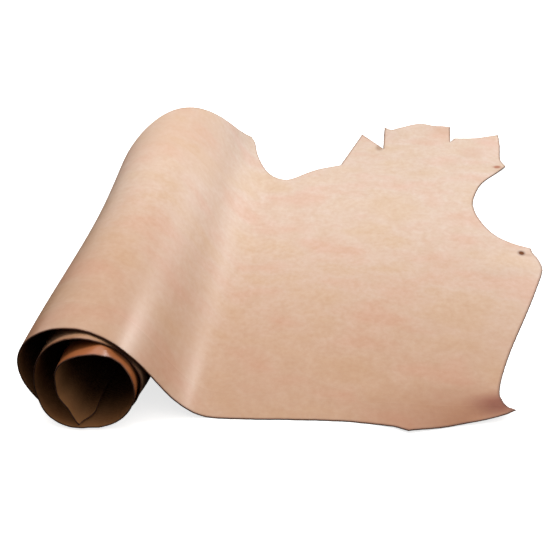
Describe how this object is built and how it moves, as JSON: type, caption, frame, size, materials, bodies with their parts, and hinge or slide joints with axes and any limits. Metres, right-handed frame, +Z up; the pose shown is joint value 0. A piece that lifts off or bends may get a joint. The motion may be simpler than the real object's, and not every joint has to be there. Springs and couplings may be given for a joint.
{
  "type": "leather side",
  "caption": "Half hide of undyed leather, its butt end wound into a loose roll and its neck and fore-leg end lying flat.",
  "frame": {"origin": "centre of the bounding box, at the level of the ground it lies on", "axes": "+Y along the roll, from its near end with the backbone edge to the belly edge; +X from the roll to the neck, along the part that lies flat; +Z up"},
  "size_m": [0.8542, 1.229, 0.1625],
  "materials": {
    "leather": "smooth undyed grain with a soft sheen outside, matt flesh side inside the roll"
  },
  "bodies": {
    "root": {"leather_side": "leather"}
  },
  "joints": []
}
